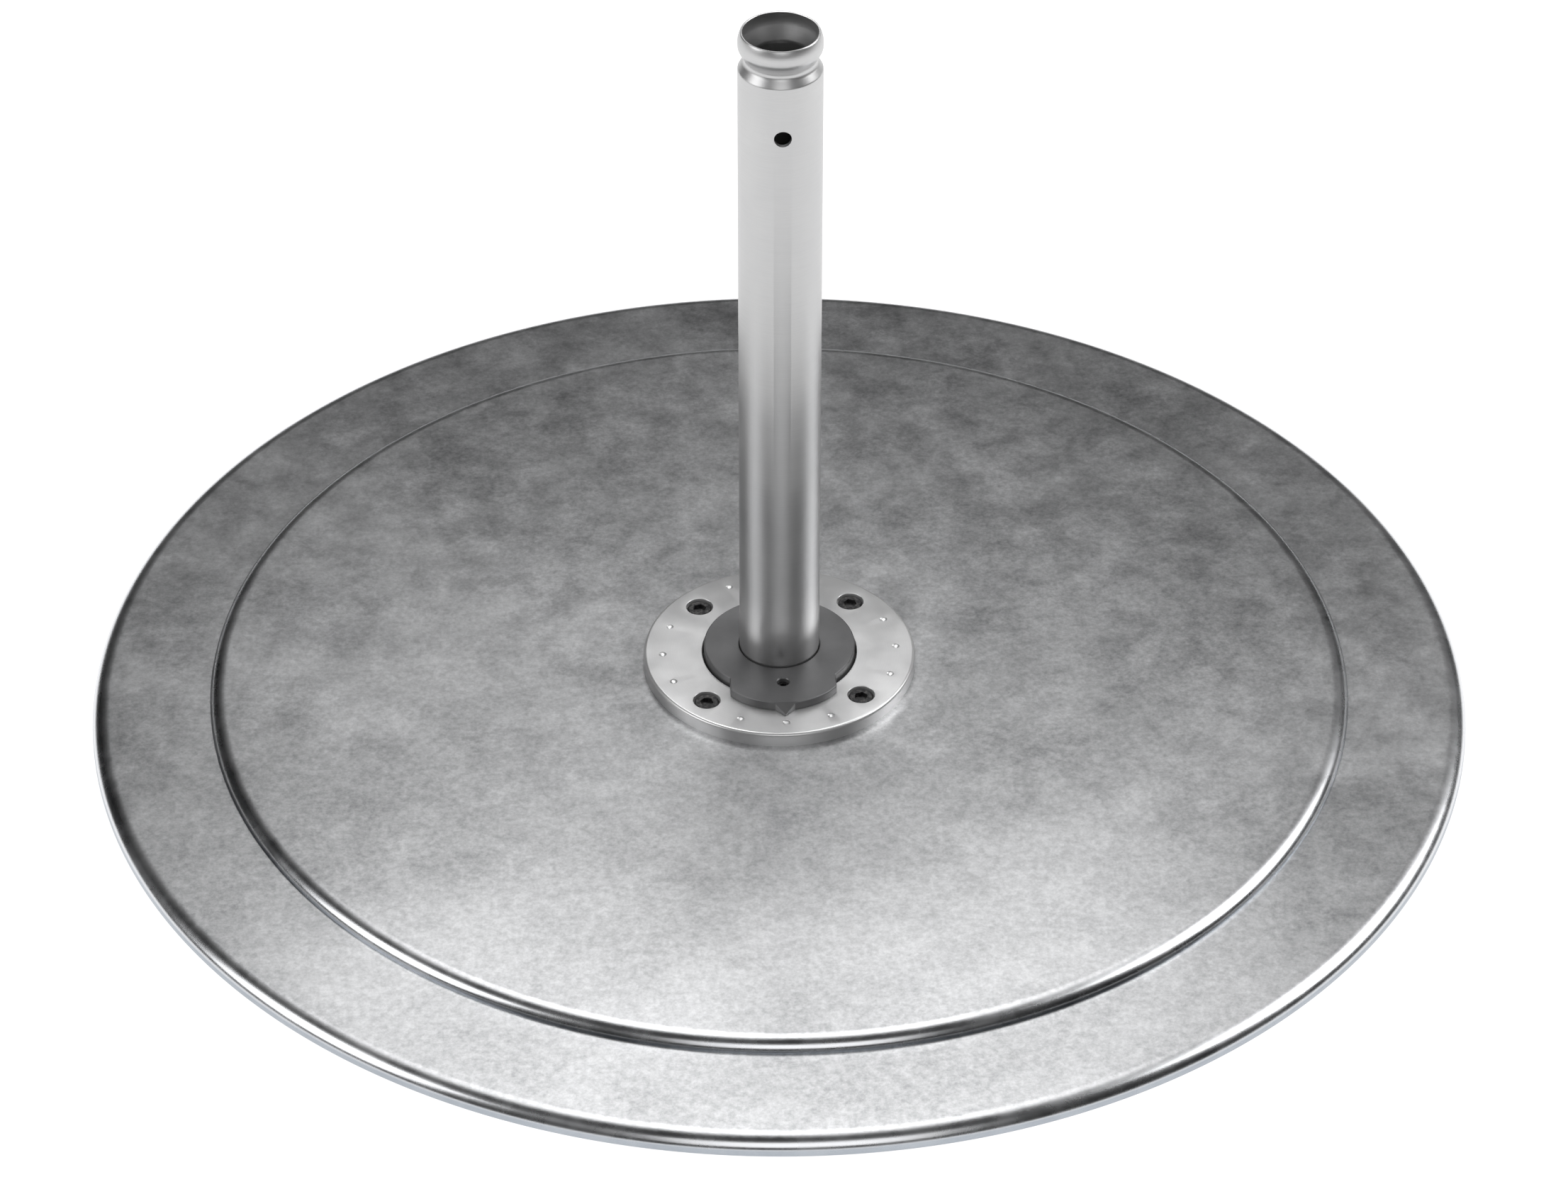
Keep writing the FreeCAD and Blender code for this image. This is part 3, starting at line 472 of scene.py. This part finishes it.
def stage():
    """Plain pale floor."""
    mesh = bpy.data.meshes.new("floor")
    reach = 14.0
    mesh.from_pydata([(-reach, -reach, 0), (reach, -reach, 0), (reach, reach, 0), (-reach, reach, 0)],
                     [], [(0, 1, 2, 3)])
    floor = bpy.data.objects.new("floor", mesh)
    bpy.context.scene.collection.objects.link(floor)
    look = Look("floor", 0.9, 0.0)
    look.shader.inputs["Base Color"].default_value = (0.25, 0.25, 0.25, 1.0)
    look.shader.inputs["Emission Color"].default_value = (1.0, 1.0, 1.0, 1.0)
    look.shader.inputs["Emission Strength"].default_value = FLOOR_GLOW
    mesh.materials.append(look.material)


FLOOR_GLOW = 0.95
SKY = 0.0
BOX_DISTANCE, BOX_SIDE, BOX_AIM = 2.6, 1.5, 0.12
# name: azimuth and elevation in degrees, watts.  Azimuth 0 is behind the camera and 90 is to its right.
RIG = {
    "key_right": (100, 40, 30.0),
    "high_back": (180, 65, 30.0),
    "fill_left": (285, 30, 18.0),
    "front": (0, 35, 10.0),
}


def softbox(name, azimuth, elevation, power):
    """Square area light aimed at the base."""
    a, e = math.radians(azimuth), math.radians(elevation)
    target = Vector((0, 0, BOX_AIM))
    outwards = Vector((math.sin(a) * math.cos(e), -math.cos(a) * math.cos(e), math.sin(e)))
    data = bpy.data.lights.new(name, "AREA")
    data.shape = "SQUARE"
    data.size = BOX_SIDE
    data.energy = power
    light = bpy.data.objects.new(name, data)
    light.location = target + BOX_DISTANCE * outwards
    light.rotation_euler = outwards.to_track_quat("Z", "Y").to_euler()
    bpy.context.scene.collection.objects.link(light)


def lights():
    world = bpy.data.worlds.new("studio")
    bpy.context.scene.world = world
    world.use_nodes = True
    background = world.node_tree.nodes["Background"]
    background.inputs["Color"].default_value = (1.0, 1.0, 1.0, 1.0)
    background.inputs["Strength"].default_value = SKY
    for name, (azimuth, elevation, power) in RIG.items():
        softbox(name, azimuth, elevation, power)


# ---- camera ---------------------------------------------------------------------------

SENSOR = 36.0
CAMERA = {"lens": 113.11, "back": 2.600, "height": 2.0408, "pitch": 36.973, "yaw": -0.066, "roll": 0.150}
TURNTABLE = -3.5      # how far the object is turned in the view, in degrees about Z


def camera():
    pitch = math.radians(CAMERA["pitch"])
    yaw, roll = math.radians(CAMERA["yaw"]), math.radians(CAMERA["roll"])
    spin = Matrix.Rotation(yaw, 3, "Z")
    ahead = spin @ Vector((0, math.cos(pitch), -math.sin(pitch)))
    right = spin @ Vector((1, 0, 0))
    above = spin @ Vector((0, math.sin(pitch), math.cos(pitch)))
    side = math.cos(roll) * right + math.sin(roll) * above
    top = math.cos(roll) * above - math.sin(roll) * right
    pose = Matrix((side, top, -ahead)).transposed().to_4x4()
    pose.translation = Vector((0, -CAMERA["back"], CAMERA["height"]))
    data = bpy.data.cameras.new("camera")
    data.sensor_width = SENSOR
    data.lens = CAMERA["lens"]
    data.clip_end = 100
    made = bpy.data.objects.new("camera", data)
    made.matrix_world = Matrix.Rotation(math.radians(TURNTABLE), 4, "Z") @ pose
    bpy.context.scene.collection.objects.link(made)
    bpy.context.scene.camera = made


dress_frame()
fine_lower_plate()
fine_upper_plate()
fine_ring()
fine_tube()
stage()
lights()
camera()
bpy.context.scene.view_settings.view_transform = "Standard"
